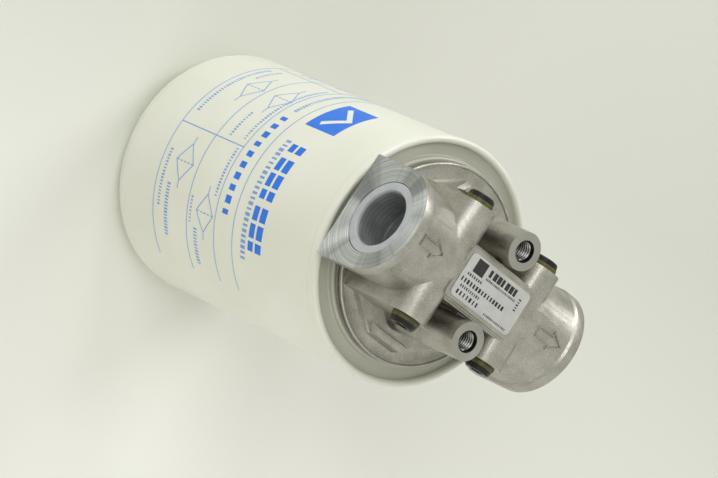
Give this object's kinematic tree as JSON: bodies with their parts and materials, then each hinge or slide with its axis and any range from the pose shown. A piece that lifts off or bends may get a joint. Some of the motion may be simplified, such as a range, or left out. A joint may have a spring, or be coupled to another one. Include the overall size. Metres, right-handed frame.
{
  "type": "inline suction filter",
  "caption": "Spin-on suction filter: cast aluminium head with two in-line ports, gauge ports and mounting bosses, over a painted steel canister.",
  "frame": {"origin": "middle of the closed end of the canister, in the plane the filter stands on", "axes": "+X is the way the oil flows, from the inlet port to the outlet port; +Z runs along the canister axis from its closed end up to the head; +Y completes the right-handed frame, towards one mounting boss"},
  "size_m": [0.097, 0.097, 0.1852],
  "materials": {
    "cast_head": "as-cast die casting, fine grain; ports and bosses machined bright",
    "canister_paint": "satin off-white paint",
    "cover_steel": "satin grey-green coat",
    "seal_rubber": "matt black rubber",
    "plain_steel": "plain turned or pressed steel",
    "spring_steel": "drawn spring wire",
    "tinned_steel": "bright tinned sheet",
    "filter_paper": "resin-treated pleated paper",
    "cap_plastic": "translucent white polythene",
    "plug_black": "black moulded plastic",
    "seal_yellow": "yellow-green soft sealing ring",
    "label_foil": "silver-grey printed label"
  },
  "bodies": {
    "head": {"head_casting": "cast_head", "head_label": "label_foil", "spin_on_nipple": "plain_steel", "bypass_guide": "plain_steel", "guide_snap_ring": "spring_steel", "bypass_spring": "spring_steel", "gauge_plug_1": "plug_black", "gauge_plug_2": "plug_black", "gauge_plug_3": "plug_black", "gauge_plug_4": "plug_black", "gauge_seal_1": "seal_yellow", "gauge_seal_2": "seal_yellow", "gauge_seal_3": "seal_yellow", "gauge_seal_4": "seal_yellow"},
    "inlet_cap": {"inlet_cap": "cap_plastic"},
    "bypass_poppet": {"bypass_poppet": "plain_steel"},
    "element": {"filter_media": "filter_paper", "core_tube": "tinned_steel", "top_end_cap": "tinned_steel", "bottom_end_cap": "tinned_steel", "element_grommet": "seal_rubber", "bottom_spring": "spring_steel"},
    "canister": {"can_shell": "canister_paint", "seam_cover": "cover_steel", "can_gasket": "seal_rubber", "base_plate": "plain_steel"}
  },
  "joints": [
    {"name": "inlet_cap_pull", "type": "slide", "parent": "head", "child": "inlet_cap", "axis": [-1, 0, 0], "range_m": [0, 0.02]},
    {"name": "bypass_open", "type": "slide", "parent": "head", "child": "bypass_poppet", "axis": [1, 0, 0], "range_m": [0, 0.004], "stiffness_N_per_m": 500, "springref_m": -0.006, "deforming": ["bypass_spring"]},
    {"name": "canister_drop", "type": "slide", "parent": "head", "child": "element", "axis": [0, 0, -1], "range_m": [0, 0.01643]},
    {"name": "canister_turn", "type": "hinge", "parent": "element", "child": "canister", "pos_m": [0, 0, 0], "axis": [0, 0, -1], "range_deg": [0, 3240]}
  ],
  "couplings": [
    {"joint": "canister_drop", "follows": "canister_turn", "m_per_rad": 0.00028876}
  ]
}
